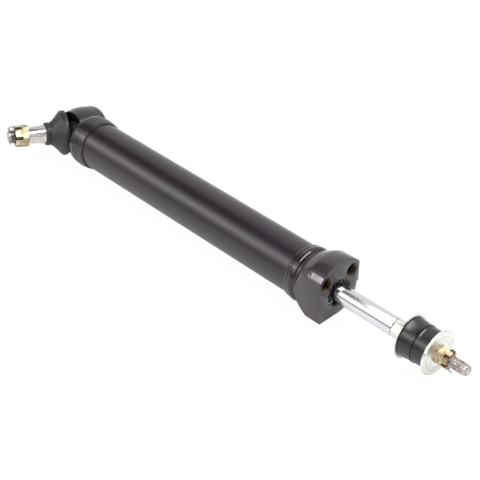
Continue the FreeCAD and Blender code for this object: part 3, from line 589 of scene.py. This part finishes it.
def helical_thread(name, start, end, crest, root, pitch, tip_chamfer):
    """A threaded end along +X: a core with a chamfered tip, and a ridge screwed round it."""
    tip_root = root - tip_chamfer * 0.55
    core = lathe(name, [
        (start, root), (end - tip_chamfer, root + 0.02), (end - 0.15, tip_root), (end, tip_root - 0.15),
    ], around=64)
    bpy.ops.object.select_all(action="DESELECT")
    bpy.ops.mesh.primitive_plane_add(size=1.0, location=(0, 0, 0))
    ridge = bpy.context.object
    ridge.name = name + "_ridge"
    tooth = [(0.04, root - 0.1), (0.42, crest), (0.58, crest), (0.96, root - 0.1)]
    corners = [vertex.index for vertex in ridge.data.vertices]
    for index, (along, radius) in zip((corners[0], corners[1], corners[3], corners[2]), tooth):
        ridge.data.vertices[index].co = ((start + along * pitch) * MM, 0, radius * MM)
    bpy.ops.object.mode_set(mode="EDIT")
    bpy.ops.mesh.select_all(action="SELECT")
    bpy.ops.mesh.delete(type="ONLY_FACE")
    bpy.ops.object.mode_set(mode="OBJECT")
    winding = ridge.modifiers.new("winding", "SCREW")
    winding.axis = "X"
    winding.angle = 2 * math.pi
    winding.screw_offset = pitch * MM
    winding.iterations = int((end - tip_chamfer - start) / pitch) - 1
    winding.steps = winding.render_steps = 40
    winding.use_merge_vertices = True
    bpy.ops.object.modifier_apply(modifier=winding.name)
    bpy.ops.object.mode_set(mode="EDIT")
    bpy.ops.mesh.select_all(action="SELECT")
    bpy.ops.mesh.remove_doubles(threshold=0.000002)
    bpy.ops.mesh.fill_holes(sides=0)
    bpy.ops.mesh.select_all(action="SELECT")
    bpy.ops.mesh.normals_make_consistent(inside=False)
    bpy.ops.object.mode_set(mode="OBJECT")
    core.select_set(True)
    bpy.context.view_layer.objects.active = core
    bpy.ops.object.join()
    return core


def oiled_thread(name, light, dark):
    """Rolled thread steel: brown-grey, with darker oily patches and brighter rubbed patches."""
    material, tools, place = new_finish(name)
    dirt = tools.ramp(tools.noise(place, 240.0, detail=5.0), 0.38, 0.66)
    patch = tools.ramp(tools.noise(place, 90.0, detail=2.0), 0.40, 0.65)
    body = tools.colour(dirt, light + (1.0,), dark + (1.0,))
    rubbed = tools.colour(patch * 0.3, body, (0.58, 0.54, 0.51, 1.0))
    grain = tools.noise(place, 3000.0)
    bump = tools.node("Bump", {}, {"Height": grain, "Strength": 0.08, "Distance": 0.0001})
    return close_finish(material, tools, {
        "Base Color": rubbed, "Metallic": 1.0, "Roughness": 0.32 + 0.20 * dirt, "Normal": bump,
    })


stud_thread = helical_thread(
    "stud_thread", start=48.5, end=67.6, crest=6.35, root=5.55, pitch=1.27, tip_chamfer=1.3
)
thread_steel = oiled_thread("oiled_stud_thread", light=(0.30, 0.27, 0.25), dark=(0.11, 0.095, 0.08))
finish_piece(stud_thread, thread_steel, "stud", [], axis=stud_axis)


# The tapped ports: bare steel threads cut through the enamel, brown with thread oil, each with
# a bright chamfer at its mouth. They take a flared line's nut.

PORT_SIDE = 0.0146
PORT_RISE = 0.0150
PORT_DEPTH = 7.9
PORT_RADIUS = 5.80
THREAD_CREST = 5.35
THREAD_TURNS = 7


def port_thread(name, mouth):
    """The bare wall of one port on the axis: a sleeve, and one ridge repeated down it."""
    wall = lathe(name, [
        (mouth - PORT_DEPTH, 6.04), (mouth - PORT_DEPTH, PORT_RADIUS), (mouth - 0.95, PORT_RADIUS),
        (mouth - 0.55, 6.15), (mouth - 0.06, 6.72),
        (mouth - 0.02, 6.74), (mouth - 0.75, 6.06),
    ], hollow=True, around=72)
    start = mouth - PORT_DEPTH + 0.1
    ridge = lathe(name + "_ridge", [
        (start, 5.85), (start + 0.42, THREAD_CREST), (start + 0.58, THREAD_CREST), (start + 0.98, 5.85),
    ], hollow=True, around=72)
    turns = ridge.modifiers.new("turns", "ARRAY")
    turns.use_relative_offset = False
    turns.use_constant_offset = True
    turns.constant_offset_displace = (MM, 0, 0)
    turns.count = THREAD_TURNS
    bpy.ops.object.modifier_apply(modifier=turns.name)
    wall.select_set(True)
    bpy.context.view_layer.objects.active = wall
    bpy.ops.object.join()
    return wall


def shifted(piece, move):
    """Moves a piece's mesh, and leaves the object at the origin."""
    bpy.ops.object.select_all(action="DESELECT")
    piece.select_set(True)
    bpy.context.view_layer.objects.active = piece
    piece.location = move
    bpy.ops.object.transform_apply(location=True, rotation=False, scale=False)


port_steel, tools, place = new_finish("oiled_port_steel")
across = tools.node("SeparateXYZ", {}, {0: place})
mouth_rim = tools.ramp(across, head_high.x - 0.0008, head_high.x - 0.0005)
# The wall darkens towards the port's floor: painted shade inside the hole.
depth = tools.ramp(across, head_high.x - 0.0060, head_high.x - 0.0010)
grime = tools.ramp(tools.noise(place, 300.0, detail=4.0), 0.40, 0.65)
oily = tools.colour(grime, (0.16, 0.10, 0.06, 1.0), (0.06, 0.04, 0.028, 1.0))
deep = tools.colour(depth, (0.020, 0.014, 0.010, 1.0), oily)
rimmed = tools.colour(mouth_rim * 0.85, deep, (0.62, 0.58, 0.54, 1.0))
close_finish(port_steel, tools, {"Base Color": rimmed, "Metallic": 1.0, "Roughness": 0.20 + 0.10 * grime})
left_thread = port_thread("port_thread_left", head_high.x / MM)
shifted(left_thread, (0, -PORT_SIDE, PORT_RISE))
right_thread = left_thread.copy()
right_thread.data = left_thread.data.copy()
right_thread.name = right_thread.data.name = "port_thread_right"
bpy.context.scene.collection.objects.link(right_thread)
shifted(right_thread, (0, 2 * PORT_SIDE, 0))
for wall in (left_thread, right_thread):
    finish_piece(wall, port_steel, "cylinder", [])


# The dust boot: a moulded rubber skirt with a thick rim over the socket's dome, a hollow
# flare and a collar that grips the stud's shoulder.

boot_outline = [
    (11.6, 21.0), (12.0, 21.5), (12.9, 21.7), (15.4, 21.6), (16.2, 21.2), (17.4, 20.0), (19.5, 17.6),
    (22.0, 14.9), (24.4, 12.6), (25.8, 11.6), (26.6, 11.2), (27.3, 10.9), (28.0, 10.9), (28.7, 11.2),
    (31.2, 11.1), (31.8, 10.8), (32.2, 10.2), (32.1, 9.6), (31.2, 9.5), (25.0, 9.5), (23.6, 10.6),
    (20.0, 14.2), (17.0, 17.8), (15.2, 19.5), (12.4, 19.7), (11.7, 20.0),
]
boot = lathe("rubber_dust_boot", boot_outline, hollow=True, around=112)
boot_rubber = moulded_rubber("boot_rubber", (0.009, 0.006, 0.007), roughness=0.42, bloom=0.008)
finish_piece(
    boot, boot_rubber, "boot", ["dust_boot"], width=0.1, axis=stud_axis, angle=60.0
)


# The two slotted nuts: hexagon steel nuts in pale yellow zinc, one on the stud and one on the
# rod. Slots across the flats take the split pin, and both ends are chamfered in the lathe.

def carve(piece, cutter, how):
    """Cuts a piece with another that is then thrown away."""
    bpy.ops.object.select_all(action="DESELECT")
    piece.select_set(True)
    bpy.context.view_layer.objects.active = piece
    cut = piece.modifiers.new("cut", "BOOLEAN")
    cut.operation = how
    cut.solver = "EXACT"
    cut.object = cutter
    bpy.ops.object.modifier_apply(modifier=cut.name)
    bpy.data.objects.remove(cutter)


def box_cutter(low, high, turn):
    """A block between two corners in mm, turned about X by degrees."""
    centre = [(first + last) / 2 * MM for first, last in zip(low, high)]
    size = [(last - first) * MM for first, last in zip(low, high)]
    bpy.ops.object.select_all(action="DESELECT")
    bpy.ops.mesh.primitive_cube_add(size=1.0, location=centre, scale=size)
    cutter = bpy.context.object
    bpy.ops.object.transform_apply(location=True, rotation=True, scale=True)
    cutter.rotation_euler = (math.radians(turn), 0, 0)
    bpy.ops.object.transform_apply(location=False, rotation=True, scale=False)
    return cutter


PIN_TURN = -23.0


def slotted_nut(name, back, flats, height, slot_width, slot_depth, bore):
    """A hexagon nut about X with six slots in its far end."""
    corner = flats / math.sqrt(3)
    front = back + height
    bpy.ops.object.select_all(action="DESELECT")
    bpy.ops.mesh.primitive_cylinder_add(
        vertices=6, radius=corner * MM, depth=height * MM, location=((back + front) / 2 * MM, 0, 0),
        rotation=(0, math.pi / 2, 0),
    )
    bpy.ops.object.transform_apply(location=True, rotation=True, scale=True)
    nut = bpy.context.object
    nut.name = nut.data.name = name
    nut.rotation_euler = (math.radians(30.0), 0, 0)
    bpy.ops.object.transform_apply(location=False, rotation=True, scale=False)
    skin = lathe("nut_chamfer", [
        (back, corner * 0.885), (back + 0.75, corner * 1.005),
        (front - 1.1, corner * 1.005), (front, corner * 0.86),
    ], around=72)
    carve(nut, skin, "INTERSECT")
    hole = lathe("nut_bore", [
        (back - 1, bore + 1), (back, bore + 0.5), (back + 0.6, bore),
        (front - 0.6, bore), (front, bore + 0.5), (front + 1, bore + 1),
    ], around=64)
    carve(nut, hole, "DIFFERENCE")
    for turn in (0, 60, 120):
        slot = box_cutter(
            (front - slot_depth, -slot_width / 2, -flats), (front + 2, slot_width / 2, flats), turn
        )
        carve(nut, slot, "DIFFERENCE")
    nut.rotation_euler = (math.radians(PIN_TURN), 0, 0)
    bpy.ops.object.transform_apply(location=False, rotation=True, scale=False)
    return nut


def yellow_zinc(name, pale, deep, green_share):
    """Pale yellow chromate over zinc: gold with brown and faint green clouds, paler on the wear."""
    material, tools, place = new_finish(name)
    cloud = tools.ramp(tools.noise(place, 130.0, detail=4.0), 0.34, 0.64)
    green = tools.ramp(tools.noise(place, 75.0, (1.0, 1.4, 0.8)), 0.52, 0.74)
    speck = tools.ramp(tools.noise(place, 1400.0, detail=2.0), 0.60, 0.75)
    gold = tools.colour(cloud, pale + (1.0,), deep + (1.0,))
    tinted = tools.colour(green * green_share, gold, (0.50, 0.52, 0.32, 1.0))
    worn = tools.colour(speck * 0.4, tinted, (0.90, 0.88, 0.80, 1.0))
    grain = tools.noise(place, 2200.0)
    bump = tools.node("Bump", {}, {"Height": grain, "Strength": 0.25, "Distance": 0.0001})
    return close_finish(material, tools, {
        "Base Color": worn, "Metallic": 1.0, "Roughness": 0.32 + 0.14 * cloud, "Normal": bump,
    })


nut_zinc = yellow_zinc("pale_yellow_zinc", pale=(0.54, 0.51, 0.37), deep=(0.28, 0.23, 0.13), green_share=0.35)
stud_nut = slotted_nut(
    "slotted_stud_nut", back=48.45, flats=19.05, height=13.0, slot_width=3.6, slot_depth=6.6, bore=6.4
)
finish_piece(
    stud_nut, nut_zinc, "stud", ["stud_nut"], width=0.28, axis=stud_axis, angle=25.0
)


# The split pins: half-round steel wire folded to an eye, pushed through slot and thread, and
# the two legs bent apart behind.

def bent_wire(name, points, thickness):
    """A round wire through points in mm, smoothed at its bends."""
    bpy.ops.object.select_all(action="DESELECT")
    bpy.ops.curve.primitive_nurbs_path_add(radius=1.0, location=(0, 0, 0))
    wire = bpy.context.object
    wire.name = name
    spline = wire.data.splines[0]
    spline.points.add(len(points) - len(spline.points))
    for point, (along, across, up) in zip(spline.points, points):
        point.co = (along * MM, across * MM, up * MM, 1.0)
    spline.order_u = 4
    spline.use_endpoint_u = True
    spline.resolution_u = 6
    wire.data.bevel_depth = thickness / 2 * MM
    wire.data.bevel_resolution = 4
    wire.data.use_fill_caps = True
    bpy.ops.object.convert(target="MESH")
    return wire


def split_pin(name, place, wire, eye, eye_place, eye_shift, reach, legs):
    """The folded pin: its eye above, two legs side by side through the hole, and their bent ends."""
    half = wire * 0.24
    ring = eye / 2 - half * 0.6
    path = [(place - half - 1.2 - legs[0], 0, -reach - 1.5), (place - half - 0.5, 0, -reach - 1.2)]
    path += [(place - half, 0, -reach), (place - half, 0, 0), (place - half, 0, eye_place - ring - 1.2)]
    for step in range(13):
        angle = math.radians(-108 - 324 * step / 12)
        path.append((place + eye_shift + ring * math.cos(angle), 0, eye_place + ring * math.sin(angle)))
    path += [(place + half, 0, eye_place - ring - 1.2), (place + half, 0, 0), (place + half, 0, -reach)]
    path += [(place + half + 0.5, 0, -reach - 1.2), (place + half + 1.6, 0, -reach - 1.9)]
    path.append((place + half + 1.8 + legs[1], 0, -reach - 2.0))
    pin = bent_wire(name, path, wire * 0.66)
    pin.rotation_euler = (math.radians(PIN_TURN), 0, 0)
    bpy.ops.object.transform_apply(location=False, rotation=True, scale=False)
    return pin


pin_steel = worked_metal(
    "split_pin_steel", (0.60, 0.59, 0.56), roughness=0.20, ring_depth=0.05,
    direction=(0.0, 0.0, 1.0), spread=0.45,
)
stud_pin = split_pin(
    "stud_split_pin", place=63.4, wire=2.5, eye=6.6, eye_place=10.0, eye_shift=1.3, reach=6.9, legs=(0.6, 0.6)
)
finish_piece(stud_pin, pin_steel, "stud", ["stud_cotter"], axis=stud_axis)


# The piston rod: ground steel with hard chrome, two wrench flats cut through the chrome near
# its end, and a stem turned down for the bushings.

STEM_LENGTH = 57.8
STEM_RADIUS = 4.75
ROD_RADIUS = 7.94
PISTON_SEAT_RADIUS = 5.0
PISTON_SEAT_END = 121.0
FLAT_START = 12.0
FLAT_END = 3.0
FLAT_HALF_WIDTH = 6.6
FLAT_TURN = 130.0
rod_low, rod_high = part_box("piston_rod")
rod_tip = rod_high.x / MM
rod_shoulder = rod_tip - STEM_LENGTH
rod_start = rod_low.x / MM
rod_outline = [
    (rod_start, 4.2), (rod_start + 0.8, PISTON_SEAT_RADIUS), (PISTON_SEAT_END, PISTON_SEAT_RADIUS),
    (PISTON_SEAT_END + 0.05, 7.4), (PISTON_SEAT_END + 0.6, ROD_RADIUS), (rod_shoulder - 0.7, ROD_RADIUS),
    (rod_shoulder - 0.1, 7.4), (rod_shoulder, 7.1), (rod_shoulder + 0.02, STEM_RADIUS),
    (rod_shoulder + 28.0, STEM_RADIUS), (rod_shoulder + 28.5, 4.1), (rod_tip - 3.0, 4.1),
]
rod = lathe("chromed_piston_rod", rod_outline, around=144)
for side in (FLAT_TURN, FLAT_TURN + 180.0):
    flat = box_cutter(
        (rod_shoulder - FLAT_START, FLAT_HALF_WIDTH, -16.0), (rod_shoulder - FLAT_END, 24.0, 16.0), side
    )
    carve(rod, flat, "DIFFERENCE")
chrome_skin, tools, place = new_finish("hard_chrome")
drawn = tools.noise(place, 900.0, (0.02, 1.0, 1.0), 4.0)
haze = tools.ramp(tools.noise(place, 45.0, (0.3, 1.0, 1.0), 4.0), 0.42, 0.72)
plated = tools.colour(haze * 0.5, (0.63, 0.63, 0.655, 1.0), (0.55, 0.55, 0.58, 1.0))
rubbed = tools.colour(tools.ramp(drawn, 0.52, 0.72) * 0.12, plated, (0.42, 0.42, 0.45, 1.0))
across = tools.node("SeparateXYZ", {}, {0: place})
flats_start = (rod_shoulder - FLAT_START - 0.6) * MM
bare_from = tools.ramp(across, flats_start, flats_start + 0.0008)
bare_to = tools.ramp(across, (rod_shoulder - 2.6) * MM, (rod_shoulder - 1.8) * MM)
bare = bare_from * (1.0 - bare_to)
cut_marks = tools.noise(place, 500.0, (4.0, 1.0, 1.0), 4.0)
tan = tools.colour(cut_marks, (0.66, 0.60, 0.53, 1.0), (0.78, 0.75, 0.70, 1.0))
skin = tools.colour(bare * 0.55, rubbed, tan)
# A dark line is painted along the end wall of the wrench flats: painted shade on the step.
end_wall = (rod_shoulder - FLAT_START) * MM
flat_wall_shade = tools.ramp(across, end_wall - 0.0004, end_wall - 0.0001) * tools.ramp(
    across, end_wall + 0.0003, end_wall + 0.0007, 1.0, 0.0)
skin = tools.colour(flat_wall_shade * 0.85, skin, (0.20, 0.17, 0.14, 1.0))
bump = tools.node("Bump", {}, {"Height": drawn, "Strength": 0.006, "Distance": 0.0001})
close_finish(chrome_skin, tools, {
    "Base Color": skin, "Metallic": 1.0, "Roughness": 0.13 + 0.06 * haze + 0.16 * bare, "Normal": bump,
})
finish_piece(rod, chrome_skin, "rod", ["piston_rod"], width=0.12, angle=25.0)
rod_thread = helical_thread(
    "rod_thread", start=rod_shoulder + 28.4, end=rod_tip, crest=4.765, root=4.15, pitch=1.058, tip_chamfer=1.1
)
rod_thread_steel = oiled_thread("oiled_rod_thread", light=(0.56, 0.50, 0.47), dark=(0.32, 0.28, 0.25))
finish_piece(rod_thread, rod_thread_steel, "rod", [])


# The cupped washers: pressed steel discs in clear zinc. The press leaves a raised ring, and
# the rim is turned towards the rubber.

def clear_zinc(name):
    """Clear zinc on pressed steel: pale and cool, with the press's rings, a soft mottle and dark lines of
    painted shade at the cup's bends.
    """
    material, tools, place = new_finish(name)
    flat_place = tools.node("Mapping", {}, {"Vector": place, "Scale": (0.0, 1.0, 1.0)})
    radius = tools.node("VectorMath", {"operation": "LENGTH"}, {0: flat_place}, "Value")
    column = tools.node("CombineXYZ", {}, {"X": radius})
    rings = tools.noise(column, 900.0, detail=4.0)
    broad = tools.ramp(tools.noise(column, 260.0, detail=1.0), 0.40, 0.60)
    spangle = tools.ramp(tools.noise(place, 170.0, detail=5.0), 0.35, 0.70)
    body = tools.colour(spangle, (0.77, 0.78, 0.74, 1.0), (0.68, 0.70, 0.66, 1.0))
    ringed = tools.colour(broad * 0.30, body, (0.52, 0.56, 0.52, 1.0))
    # Dark lines at the cup's three bends are painted shade.
    for groove in (0.0113, 0.0149, 0.0182):
        line = tools.ramp(radius, groove - 0.0003, groove) * tools.ramp(
            radius, groove, groove + 0.0005, 1.0, 0.0)
        ringed = tools.colour(line * 0.45, ringed, (0.30, 0.33, 0.30, 1.0))
    bump = tools.node("Bump", {}, {"Height": rings, "Strength": 0.35, "Distance": 0.0003})
    return close_finish(material, tools, {
        "Base Color": ringed, "Metallic": 1.0, "Roughness": 0.25 + 0.12 * spangle, "Normal": bump,
    })


def cup_washer(name, seat, side, thickness):
    """A cupped washer about X: side is +1 when the rubber lies beyond it."""
    back = seat - side * thickness
    cup = side * 1.2
    outline = [
        (back, 4.95), (back, 10.4), (back + cup * 0.2, 11.4), (back + cup * 0.78, 14.6), (back + cup, 15.8),
        (back + cup, 18.3), (back + cup + side * 0.25, 18.95), (back + cup + side * 0.7, 19.15),
        (seat + cup - side * 0.5, 19.15), (seat + cup - side * 0.12, 18.9), (seat + cup, 18.3),
        (seat + cup, 15.5), (seat + cup * 0.72, 14.2), (seat + cup * 0.15, 11.2), (seat, 10.4), (seat, 4.95),
    ]
    return lathe(name, outline, hollow=True, around=120)


INNER_THICKNESS = 1.5
OUTER_THICKNESS = 2.5
PACK_LENGTH = 27.0
washer_zinc = clear_zinc("clear_zinc_plate")
pack_start = rod_shoulder + INNER_THICKNESS
pack_end = pack_start + PACK_LENGTH
inner_washer = cup_washer("inner_cup_washer", pack_start, 1, INNER_THICKNESS)
finish_piece(inner_washer, washer_zinc, "rod", ["inner_washer"], width=0.1, angle=50.0)
outer_washer = cup_washer("outer_cup_washer", pack_end, -1, OUTER_THICKNESS)
finish_piece(outer_washer, washer_zinc, "rod", ["outer_washer"], width=0.1, angle=50.0)


# The rubber bushings: two moulded halves squeezed between the washers, so each stands a
# little waisted, with a lip where it meets the other.

def half_bushing(name, seat, side, end_radius, foot_radius):
    """One half bushing about X, from its washer to the seam."""
    meet = (pack_start + pack_end) / 2 - side * 0.05
    cup = seat + side * 1.25
    length = meet - cup
    outline = [
        (seat + side * 0.02, 7.05), (seat + side * 0.02, 10.4), (cup, 15.3), (cup, end_radius - 0.5),
        (cup + side * 0.5, end_radius),
    ]
    for share in (0.2, 0.35, 0.5, 0.65, 0.78, 0.88):
        taper = end_radius + (foot_radius - end_radius) * share
        outline.append((cup + length * share, taper - 0.25 * math.sin(math.pi * share)))
    outline += [
        (meet - side * 0.75, foot_radius + 0.12), (meet - side * 0.55, foot_radius + 0.38),
        (meet - side * 0.3, foot_radius + 0.40), (meet - side * 0.08, foot_radius - 0.25),
        (meet, foot_radius - 0.9), (meet, 7.05),
    ]
    return lathe(name, outline, hollow=True, around=120)


bushing_rubber = moulded_rubber("bushing_rubber", (0.009, 0.0055, 0.0065), roughness=0.22, bloom=0.010)
inner_bushing = half_bushing("inner_rubber_bushing", pack_start, 1, end_radius=17.4, foot_radius=16.1)
finish_piece(inner_bushing, bushing_rubber, "rod", ["inner_bushing"])
outer_bushing = half_bushing("outer_rubber_bushing", pack_end, -1, end_radius=16.0, foot_radius=16.1)
finish_piece(outer_bushing, bushing_rubber, "rod", ["outer_bushing"])


# The rod's slotted nut draws the whole pack together, and its split pin locks it.

nut_back = pack_end + OUTER_THICKNESS + 0.02
rod_nut = slotted_nut(
    "slotted_rod_nut", back=nut_back, flats=14.3, height=11.0, slot_width=2.9, slot_depth=4.2, bore=4.8
)
tan_zinc = yellow_zinc("tan_yellow_zinc", pale=(0.82, 0.74, 0.55), deep=(0.40, 0.26, 0.14), green_share=0.12)
finish_piece(rod_nut, tan_zinc, "rod", ["rod_nut"], width=0.22, angle=25.0)
rod_pin = split_pin(
    "rod_split_pin", place=nut_back + 9.62, wire=2.0, eye=4.0, eye_place=7.2, eye_shift=0.0,
    reach=5.9, legs=(0.1, 2.6),
)
finish_piece(rod_pin, pin_steel, "rod", ["rod_cotter"])
